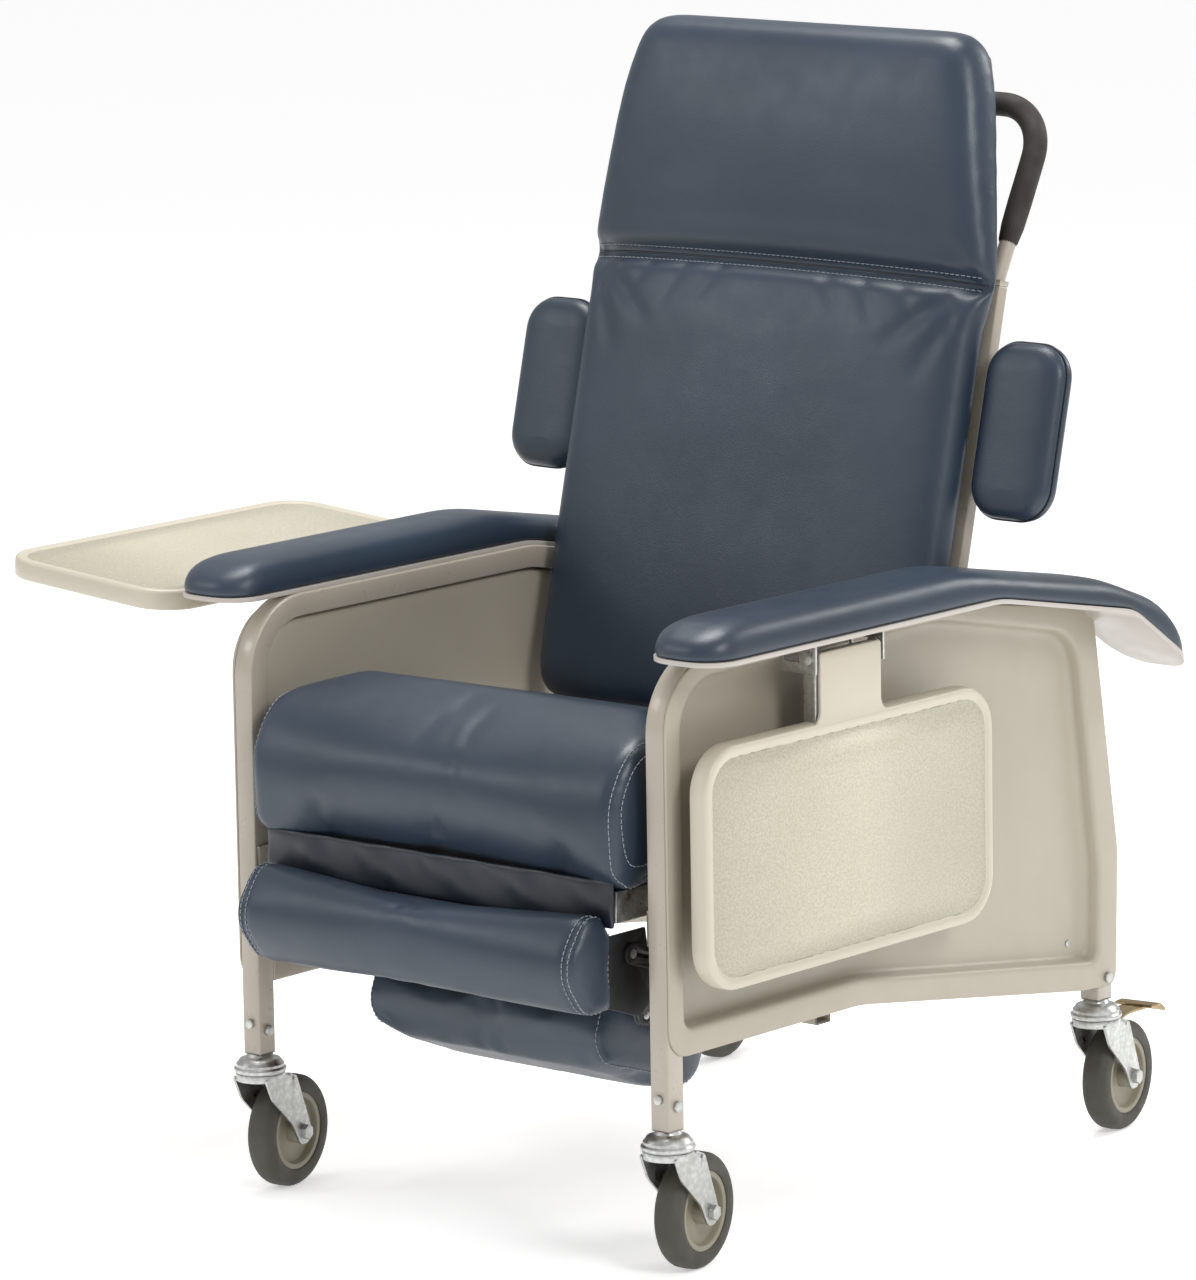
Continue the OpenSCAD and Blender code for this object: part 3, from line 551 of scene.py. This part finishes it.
def make_back_cushion():
    half = [(0.276, 0.098), (0.279, 0.300), (0.279, 0.568), (0.289, 0.622), (0.257, 0.822), (0.235, 0.897)]
    loop = mirrored_loop(half, [0.040, 0.12, 0.06, 0.06, 0.2, 0.045], 120)
    layers = [(0.030, 0.0), (0.008, 0.001), (0.001, 0.010), (0.0, 0.022), (0.004, 0.036),
              (0.014, 0.046), (0.034, 0.051)]

    def place(p, depth):
        head = smoothstep(0.63, 0.80, p.y) * 0.012
        lean = smoothstep(0.62, 0.9, p.y) * 0.006
        return BACK_TURN @ Vector((p.x, CUSHION_BACK - lean - depth * (1 + head / 0.05), p.y))

    obj = piece("back_cushion_cover", layered(loop, layers, place), "vinyl", "back")
    inverse = BACK_TURN.inverted()

    def held(co):
        q = inverse @ co
        side = height_at([Vector((z, x)) for x, z in half], q.z) - abs(q.x)
        edge = min(side, 0.897 - q.z, q.z - 0.098)
        return 1 - smoothstep(0.012, 0.045, edge) if q.y < CUSHION_BACK - 0.02 else 1.0

    swell(obj, 0.0065, 0.014, 3.0, held)
    smoothed(obj, 0.5, 6)
    ahead = (BACK_TURN.to_3x3() @ Vector((0, 1, 0))).normalized()
    for v in obj.data.vertices:
        q = inverse @ v.co
        if q.y < CUSHION_BACK - 0.012:
            front = smoothstep(0.012, 0.040, CUSHION_BACK - q.y)
            line = SEAM_Z - 0.004 * (q.x / 0.29) ** 2
            d = q.z - line
            groove = 0.017 * math.exp(-(d / 0.010) ** 2) + 0.006 * math.exp(-(d / 0.045) ** 2)
            v.co += ahead * front * groove
    folds = []
    for side in (-1, 1):
        for k in range(4):
            x = side * (0.075 + 0.052 * k)
            end = (x + side * 0.030, SEAM_Z - 0.055 - 0.012 * (k % 2))
            folds.append(((x, SEAM_Z - 0.010), end, 0.006, 0.0035, -0.06))
        folds.append(((side * 0.262, SEAM_Z - 0.008), (side * 0.165, SEAM_Z - 0.085), 0.009, 0.006, -0.055))
        folds.append(((side * 0.270, SEAM_Z - 0.012), (side * 0.215, SEAM_Z - 0.120), 0.010, 0.005, -0.055))
        folds.append(((side * 0.262, SEAM_Z + 0.012), (side * 0.200, SEAM_Z + 0.060), 0.008, 0.003, -0.055))
    press_folds(obj, folds, BACK_TURN)
    smoothed(obj, 0.5, 2)
    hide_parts("back_cushion")
    subdivide(obj)
    ahead3 = -(BACK_TURN.to_3x3() @ Vector((0, -1, 0)))
    for k, dz in enumerate((0.0075, -0.0075)):
        line = [BACK_TURN @ Vector((x / 500, -0.30, SEAM_Z - 0.004 * (x / 500 / 0.29) ** 2 + dz))
                for x in range(-140, 141)]
        stitches(f"back_seam_thread_{k}", on_surface(obj, line, ahead3, 0.0), "back")
    seam = [BACK_TURN @ Vector((x / 200, -0.30, SEAM_Z - 0.004 * (x / 200 / 0.29) ** 2))
            for x in range(-56, 57)]
    hits = on_surface(obj, seam, ahead3, 0.0)
    # A thin tube of shaded vinyl along the seam: painted shade in the crease.
    bm = tube_mesh([p + n * 0.0002 for p, n in hits], 0.0011, 6)
    piece("back_seam_fold", bm, "vinyl_dark", "back")


def end_loop(points, radii, count=72):
    return even_loop(rounded_loop([Vector(p) for p in points], radii), count)


def make_roll(name, outline, half_of, body, turn=Matrix.Identity(4), stations=13, bulge=0.006):
    """Pad of one outline in (y, z) all along X; half_of(y) is its half-width there."""
    ts = [-1 + 2 * i / (stations - 1) for i in range(stations)]
    rings = []
    mid = sum(outline, Vector((0, 0))) / len(outline)
    ends = [(0.5, bulge), (0.16, bulge * 0.8)]
    rows = [(-1, *e) for e in ends] + [(t, 0, 0) for t in ts] + [(1, *e) for e in reversed(ends)]
    for t, shrink, out in rows:
        ring = []
        for p in outline:
            q = p.lerp(mid, shrink)
            x = t * half_of(p.x) + math.copysign(out, t) if out else t * half_of(p.x)
            ring.append(turn @ Vector((x, q.x, q.y)))
        rings.append(ring)
    return piece(name, rings_mesh(rings), "vinyl", body)


def end_stitches(name, obj, outline, half_of, body, turn, offsets, middle, side):
    """Rows of stitches round the end of a roll, dropped on it towards its middle line."""
    for k, back in enumerate(offsets):
        hits = []
        for p in even_loop(outline, 260):
            x = side * (half_of(p.x) - back)
            way = Vector((0, middle.x - p.x, middle.y - p.y)).normalized()
            start = turn @ (Vector((x, p.x, p.y)) - way * 0.06)
            hits += on_roll(obj, start, (turn.to_3x3() @ way))
        stitches(f"{name}_{k}", hits, body)


ROLL_TREES = {}


def on_roll(obj, start, way):
    if obj.name not in ROLL_TREES:
        graph = bpy.context.evaluated_depsgraph_get()
        bm = bmesh.new()
        bm.from_object(obj, graph)
        ROLL_TREES[obj.name] = BVHTree.FromBMesh(bm)
        bm.free()
    hit, normal, _, _ = ROLL_TREES[obj.name].ray_cast(start, way)
    return [(hit, normal)] if hit is not None else []


def make_seat_cushion():
    outline = end_loop([(-0.400, 0.4205), (-0.430, 0.4325), (-0.438, 0.513), (-0.398, 0.577), (-0.318, 0.577),
                        (0.068, 0.484), (0.062, 0.4205)], [0.015, 0.014, 0.08, 0.05, 0.07, 0.02, 0.012])

    def half_of(y):
        return 0.262 - 0.022 * smoothstep(-0.350, -0.305, y)

    obj = make_roll("seat_cushion_cover", outline, half_of, "seat")
    swell(obj, 0.0065, 0.022)
    smoothed(obj, 0.5, 4)
    for v in obj.data.vertices:
        if v.co.z < 0.4195:
            v.co.z = 0.4195 + (v.co.z - 0.4195) * 0.05
        edge = abs(v.co.x) - (half_of(v.co.y) - 0.004)
        d = abs(edge)
        if d < 0.02 and v.co.z > 0.425:
            mid = Vector((v.co.x, -0.2, 0.49)) if v.co.y > -0.35 else Vector((v.co.x, -0.37, 0.50))
            v.co += (mid - v.co).normalized() * 0.0035 * math.exp(-(d / 0.006) ** 2)
    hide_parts("seat_cushion")
    subdivide(obj)
    for side in (-1, 1):
        end_stitches(f"seat_thread_{'right' if side < 0 else 'left'}", obj, outline, half_of, "seat",
                     Matrix.Identity(4), (-0.001, 0.007), Vector((-0.30, 0.49)), side)


def make_calf_pad():
    outline = end_loop([(-0.4035, 0.2865), (-0.4035, 0.372), (-0.4175, 0.396), (-0.442, 0.3985),
                        (-0.472, 0.356), (-0.472, 0.328), (-0.442, 0.2865)],
                       [0.006, 0.008, 0.008, 0.024, 0.04, 0.04, 0.024], 60)

    def half_of(y):
        return 0.240

    obj = make_roll("calf_pad_cover", outline, half_of, "calf_rest")
    swell(obj, 0.005, 0.012)
    smoothed(obj, 0.5, 3)
    for v in obj.data.vertices:
        v.co.y = min(v.co.y, -0.4032)
        d = abs(abs(v.co.x) - 0.232)
        if d < 0.02 and v.co.y < -0.408:
            v.co += (Vector((v.co.x, -0.43, 0.342)) - v.co).normalized() * 0.003 * math.exp(-(d / 0.005) ** 2)
    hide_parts("calf_pad")
    subdivide(obj)
    for side in (-1, 1):
        end_stitches(f"calf_thread_{'right' if side < 0 else 'left'}", obj, outline, half_of, "calf_rest",
                     Matrix.Identity(4), (0.004, 0.012), Vector((-0.435, 0.342)), side)


def make_foot_pad():
    outline = end_loop([(-0.010, 0.002), (-0.010, 0.0775), (0.180, 0.0775), (0.180, 0.002)],
                       [0.034, 0.012, 0.014, 0.034], 60)

    def half_of(y):
        return 0.169

    obj = make_roll("foot_pad_cover", outline, half_of, "foot_rest", FOOT_TURN)
    swell(obj, 0.0055, 0.010)
    smoothed(obj, 0.5, 3)
    inverse = FOOT_TURN.inverted()
    for v in obj.data.vertices:
        q = inverse @ v.co
        q.z = min(q.z, 0.0778)
        v.co = FOOT_TURN @ q
    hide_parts("foot_pad")
    subdivide(obj)
    for side in (-1, 1):
        end_stitches(f"foot_thread_{'right' if side < 0 else 'left'}", obj, outline, half_of, "foot_rest",
                     FOOT_TURN, (0.006,), Vector((0.085, 0.04)), side)


def make_wing_pads():
    low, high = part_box("wing_pad_left")
    centre_x = (low.x + high.x) / 2
    w, h, r = 0.0535, 0.0985, 0.038
    loop = mirrored_loop([(w, -h), (w, h)], [r, r], 96)
    layers = [(0.020, 0.0), (0.006, 0.0005), (0.0, 0.007), (0.0, 0.013), (0.0012, 0.0165),
              (0.0, 0.020), (0.003, 0.0262), (0.009, 0.0305), (0.019, 0.0330), (0.034, 0.0343)]
    for side, name in ((1, "left"), (-1, "right")):
        def place(p, depth):
            return BACK_TURN @ Vector((side * (centre_x + p.x), -0.022 - depth, 0.463 + p.y))

        obj = piece(f"wing_pad_cover_{name}", layered(loop, layers, place), "vinyl", "back")
        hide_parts(f"wing_pad_{name}")
        subdivide(obj, 2)
        # The welt is a tube of shaded vinyl round the pad: painted shade in the seam.
        welt = [place(p, 0.0165) for p in loop]
        piece(f"wing_pad_welt_{name}", tube_mesh(welt, 0.0013, 6, True), "vinyl_dark", "back")


def rounded_path(points, radii):
    out = [Vector(points[0])]
    for i in range(1, len(points) - 1):
        out += bend_corner(points[i - 1], points[i], points[i + 1], radii[i - 1], math.radians(4))
    return out + [Vector(points[-1])]


def height_at(path, y):
    for a, b in zip(path, path[1:]):
        if a.x <= y <= b.x:
            return a.y + (b.y - a.y) * (y - a.x) / max(b.x - a.x, 1e-9)
    return path[0].y if y < path[0].x else path[-1].y


def make_arm_pads():
    low_path = rounded_path([(-0.42, 0.678), (0.084, 0.678), (0.324, 0.6317), (0.49, 0.5197)],
                            [0.15, 0.06])
    top_path = rounded_path([(-0.42, 0.7165), (0.03, 0.7165), (0.290, 0.6695), (0.390, 0.6335),
                             (0.49, 0.562)], [0.30, 0.2, 0.15])
    low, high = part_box("arm_pad_left")
    half_w, half_l = (high.x - low.x) / 2, (high.y - low.y) / 2
    mid = Vector(((low.x + high.x) / 2, (low.y + high.y) / 2))
    loop = mirrored_loop([(half_w, -half_l), (half_w, half_l)], [0.040, 0.040], 240)
    layers = [(0.004, 0.0), (0.001, 0.03), (-0.0005, 0.14), (0.0, 0.34), (0.0018, 0.55),
              (0.006, 0.75), (0.013, 0.885), (0.021, 0.955), (0.030, 0.99), (0.038, 1.0)]
    for side, name in ((1, "left"), (-1, "right")):
        def place(p, share):
            y = mid.y + p.y
            end = 1 - 0.34 * smoothstep(half_l - 0.085, half_l + 0.004, abs(p.y)) ** 2
            z0, z1 = height_at(low_path, y), height_at(top_path, y)
            return Vector((side * (mid.x + p.x), y, z0 + (z1 - z0) * share * end))

        obj = piece(f"arm_pad_cover_{name}", layered(loop, layers, place), "vinyl", "root")
        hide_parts(f"arm_pad_{name}")
        subdivide(obj, 1)


def make_flap():
    low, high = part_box("leg_flap")
    bm = bmesh.new()
    nx, nz = 60, 6
    for face, y in ((0, low.y), (1, high.y - 0.001)):
        grid = []
        for i in range(nx + 1):
            x = low.x + (high.x - low.x) * i / nx
            column = []
            for k in range(nz + 1):
                z = low.z - 0.008 + (high.z + 0.019 - low.z) * k / nz
                seam = min(abs(abs(x) - 0.181), 0.02)
                wave = 0.0012 * math.sin(x * 61 + k) + 0.0008 * math.sin(x * 143) - 0.0015 * (1 - seam / 0.02)
                column.append(bm.verts.new((x, y + (wave if face == 0 else 0), z)))
            grid.append(column)
        for i in range(nx):
            for k in range(nz):
                bm.faces.new((grid[i][k], grid[i + 1][k], grid[i + 1][k + 1], grid[i][k + 1]))
    edges = [e for e in bm.edges if e.is_boundary]
    bmesh.ops.bridge_loops(bm, edges=edges)
    # The flap takes the shaded vinyl: painted shade under the front of the seat.
    obj = piece("leg_flap_cover", bm, "vinyl_dark", "seat")
    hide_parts("leg_flap")
    subdivide(obj, 1)


# ---------------------------------------------------------------- moulded parts
def tan_deg(a):
    return math.tan(math.radians(a))


def panel_outlines():
    leg, rail, knee, rear, low = 0.381, 0.6603, 0.084, 0.350, 0.256
    rear_z = rail - (rear - knee) * tan_deg(11)

    def low_z(y):
        return low - max(0, y + 0.068) * 0.14

    outer = rounded_loop([Vector(p) for p in (
        (-leg - 0.0127, low - 0.014), (-leg - 0.0127, 0.665), (knee, 0.665), (rear + 0.008, rear_z + 0.012),
        (leg + 0.022, 0.335), (leg + 0.018, low_z(leg) - 0.015), (leg - 0.046, low_z(leg) - 0.011),
        (-0.068, low - 0.014))], [0.030, 0.072, 0.15, 0.030, 0.090, 0.016, 0.15, 0.15])
    dish = rounded_loop([Vector(p) for p in (
        (-leg + 0.0137, low + 0.015), (-leg + 0.0137, rail - 0.0137), (knee, rail - 0.0137),
        (rear - 0.022, rear_z - 0.012), (leg - 0.014, 0.318), (leg - 0.016, low_z(leg - 0.016) + 0.015),
        (-0.068, low + 0.015))], [0.012, 0.058, 0.15, 0.060, 0.080, 0.012, 0.15])
    return outer, dish


def ring_pair(outer, dish, count):
    """Both outlines sampled along rays from the middle, so that their points face each other."""
    c = Vector((-0.02, 0.44))

    def along(loop, angle):
        way = Vector((math.cos(angle), math.sin(angle)))
        best = None
        for a, b in zip(loop, loop[1:] + loop[:1]):
            d = b - a
            det = way.x * -d.y + way.y * d.x
            if abs(det) < 1e-12:
                continue
            e = a - c
            t = (e.x * -d.y + e.y * d.x) / det
            u = (way.x * e.y - way.y * e.x) / det
            if t > 0 and -1e-9 <= u <= 1 + 1e-9 and (best is None or t > best):
                best = t
        return c + way * best

    base = even_loop(dish, count)
    angles = [math.atan2(p.y - c.y, p.x - c.x) for p in base]
    return [along(outer, a) for a in angles], base


def make_side_panels():
    outer, dish = ring_pair(*panel_outlines(), 260)
    low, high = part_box("side_panel_left")
    face, back, floor, hidden = high.x, 0.3087, high.x - 0.018, low.x
    rings = [(dish, 0.016, hidden), (dish, 0.010, hidden + 0.0004), (dish, 0.005, hidden + 0.002),
             (dish, 0.002, hidden + 0.005), (dish, 0.0004, hidden + 0.010), (dish, 0.0, back - 0.001),
             (dish, -0.001, back), (outer, 0.0005, back), (outer, 0.0, back + 0.0006),
             (outer, 0.0, face - 0.001), (outer, 0.0004, face - 0.0003), (outer, 0.0013, face),
             (dish, -0.007, face), (dish, -0.0035, face - 0.0003), (dish, -0.0012, face - 0.0014),
             (dish, 0.0006, face - 0.004), (dish, 0.0026, floor + 0.007), (dish, 0.004, floor + 0.0035),
             (dish, 0.0075, floor + 0.0012), (dish, 0.013, floor + 0.0002), (dish, 0.020, floor)]
    for side, name in ((1, "left"), (-1, "right")):
        made = [[Vector((side * x, p.x, p.y)) for p in (inset(loop, d) if d else loop)]
                for loop, d, x in rings]
        obj = piece(f"side_panel_shell_{name}", rings_mesh(made), "panel_plastic", "root")
        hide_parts(f"side_panel_{name}")


TRAY_TURN = {
    "left": Matrix.Translation((0.347, -0.140, 0.650)),
    "right": Matrix.Scale(-1, 4, (1, 0, 0)) @ Matrix.Translation((0.347, -0.140, 0.650))
    @ Matrix.Rotation(-math.radians(94.5), 4, "Y")}


def make_trays():
    half_l, half_w, r = 0.248, 0.132, 0.050
    loop = mirrored_loop([(half_l, -half_w), (half_l, half_w)], [r, r], 160)
    rim = [(0.020, 0.0055), (0.006, 0.005), (0.0035, 0.003), (0.003, -0.008), (0.0022, -0.009),
           (0.001, -0.0088), (0.0, -0.007), (-0.0004, 0.002), (0.0, 0.0098), (0.0008, 0.0122),
           (0.0026, 0.0136), (0.005, 0.014), (0.0085, 0.0138), (0.0105, 0.0130), (0.0118, 0.0122),
           (0.0138, 0.0119)]
    neck_corners = ((-0.052, 0.006), (0.052, 0.006), (0.052, -0.066), (0.078, -0.0795),
                    (-0.078, -0.0795), (-0.052, -0.066))
    neck = rounded_loop([Vector(p) for p in neck_corners], [0.004, 0.004, 0.016, 0.001, 0.001, 0.016])
    for name, turn in TRAY_TURN.items():
        body = "tray_l" if name == "left" else "tray_r"

        def place(p, depth):
            return turn @ Vector((depth, p.x, -0.202 + p.y))

        obj = piece(f"tray_shell_{name}", layered(loop, rim, place), "tray_rim", body)
        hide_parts(f"tray_{name}")
        face_loop = inset(loop, 0.0136)
        bm = bmesh.new()
        ring = [bm.verts.new(place(p, 0.0121)) for p in face_loop]
        deep = [bm.verts.new(place(p, 0.0115)) for p in face_loop]
        n = len(ring)
        for i in range(n):
            bm.faces.new((ring[i], ring[(i + 1) % n], deep[(i + 1) % n], deep[i]))
        pair_cap(bm, ring)
        pair_cap(bm, deep)
        piece(f"tray_face_{name}", bm, "tray_plastic", body)
        rings = [[turn @ Vector((x, p.x, p.y)) for p in inset(neck, d)] for d, x in (
            (0.002, 0.0082), (0.0, 0.009), (0.0, 0.0118), (0.0006, 0.0127), (0.002, 0.0131))]
        piece(f"tray_neck_{name}", rings_mesh(rings), "tray_rim", body)


def make_grip():
    half, rise, r = 0.2645, 0.214, 0.062
    turn = BACK_TURN @ Matrix.Translation((0, -0.027, 0.622)) @ Matrix.Rotation(-math.radians(14), 4, "X")
    flat = [(half, 0.038), (half, 0.10)]
    for k in range(13):
        a = math.radians(7.5 * k)
        flat.append((half - r + r * math.cos(a), rise - r + r * math.sin(a)))
    flat += [(x, rise) for x in (0.15, 0.10, 0.05)]
    path = flat + [(0.0, rise)] + [(-x, z) for x, z in reversed(flat)]
    centre = [turn @ Vector((x, 0, z)) for x, z in path]
    obj = piece("handle_grip_foam", tube_mesh(centre, 0.0138, 20), "grip_foam", "back")
    subdivide(obj, 1)
    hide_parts("handle_grip")


def soften_frame():
    """Rounds the edges of the CAD pieces that stay, by modifiers alone."""
    for name, obj in NODES.items():
        weld = obj.modifiers.new("Weld", "WELD")
        weld.merge_threshold = 0.00001
        bevel = obj.modifiers.new("Bevel", "BEVEL")
        tube = "hoop" in name or "rail" in name or "tubes" in name or "upright" in name
        bevel.width = 0.0028 if tube else 0.0006
        if name.startswith("arm_base"):
            bevel.width = 0.0025
        bevel.segments = 3 if tube else 2
        bevel.limit_method = "ANGLE"
        bevel.angle_limit = math.radians(35)
        bevel.harden_normals = True
        for p in obj.data.polygons:
            p.use_smooth = True


# ---------------------------------------------------------------- stage
def make_stage():
    bpy.ops.mesh.primitive_plane_add(size=30, location=(0, 0, 0))
    floor = bpy.context.object
    floor.name = "studio_floor"
    mat = bpy.data.materials.new("studio_floor")
    mat.use_nodes = True
    mat.node_tree.nodes["Principled BSDF"].inputs["Base Color"].default_value = (0.93, 0.93, 0.93, 1)
    mat.node_tree.nodes["Principled BSDF"].inputs["Roughness"].default_value = 0.9
    mat.node_tree.nodes["Principled BSDF"].inputs["Emission Color"].default_value = (1, 1, 1, 1)
    mat.node_tree.nodes["Principled BSDF"].inputs["Emission Strength"].default_value = 0.42
    floor.data.materials.append(mat)
    world = bpy.data.worlds.new("studio")
    bpy.context.scene.world = world
    world.use_nodes = True
    world.node_tree.nodes["Background"].inputs["Color"].default_value = (1, 1, 1, 1)
    world.node_tree.nodes["Background"].inputs["Strength"].default_value = 0.58
    lights = (("key", (4.2, -1.2, 3.2), 1.4, 90), ("fill", (-2.8, -3.2, 2.6), 1.2, 24),
              ("top", (-0.6, 0.2, 4.0), 1.8, 115), ("rim", (1.4, 3.2, 2.4), 1.2, 40))
    for name, place, size, power in lights:
        data = bpy.data.lights.new(name, "AREA")
        data.energy = power
        data.size = size
        lamp = bpy.data.objects.new(name, data)
        lamp.location = place
        lamp.rotation_euler = (Vector((0, 0, 0.6)) - Vector(place)).to_track_quat("-Z", "Y").to_euler()
        bpy.context.scene.collection.objects.link(lamp)
    scene = bpy.context.scene
    scene.view_settings.view_transform = "Standard"


def make_camera():
    az, el, roll = math.radians(40.57), math.radians(10.29), math.radians(-0.98)
    right = Vector((math.cos(az), math.sin(az), 0))
    back = Vector((math.sin(az) * math.cos(el), -math.cos(az) * math.cos(el), math.sin(el)))
    up = back.cross(right)
    r2 = right * math.cos(roll) + up * math.sin(roll)
    u2 = up * math.cos(roll) - right * math.sin(roll)
    data = bpy.data.cameras.new("camera")
    data.lens = 206.4  # mm, from the fit to the frame's straight lines
    data.sensor_width = 36
    data.clip_end = 40
    cam = bpy.data.objects.new("camera", data)
    turn = Matrix((r2, u2, back)).transposed().to_4x4()
    cam.matrix_world = Matrix.Translation((5.1764, -6.1813, 2.0692)) @ turn
    bpy.context.scene.collection.objects.link(cam)
    bpy.context.scene.camera = cam


make_camera()
make_stage()
paint_frame()
soften_frame()
make_side_panels()
make_trays()
make_arm_pads()
make_wing_pads()
make_flap()
make_grip()
make_calf_pad()
make_foot_pad()
make_seat_cushion()
make_back_cushion()
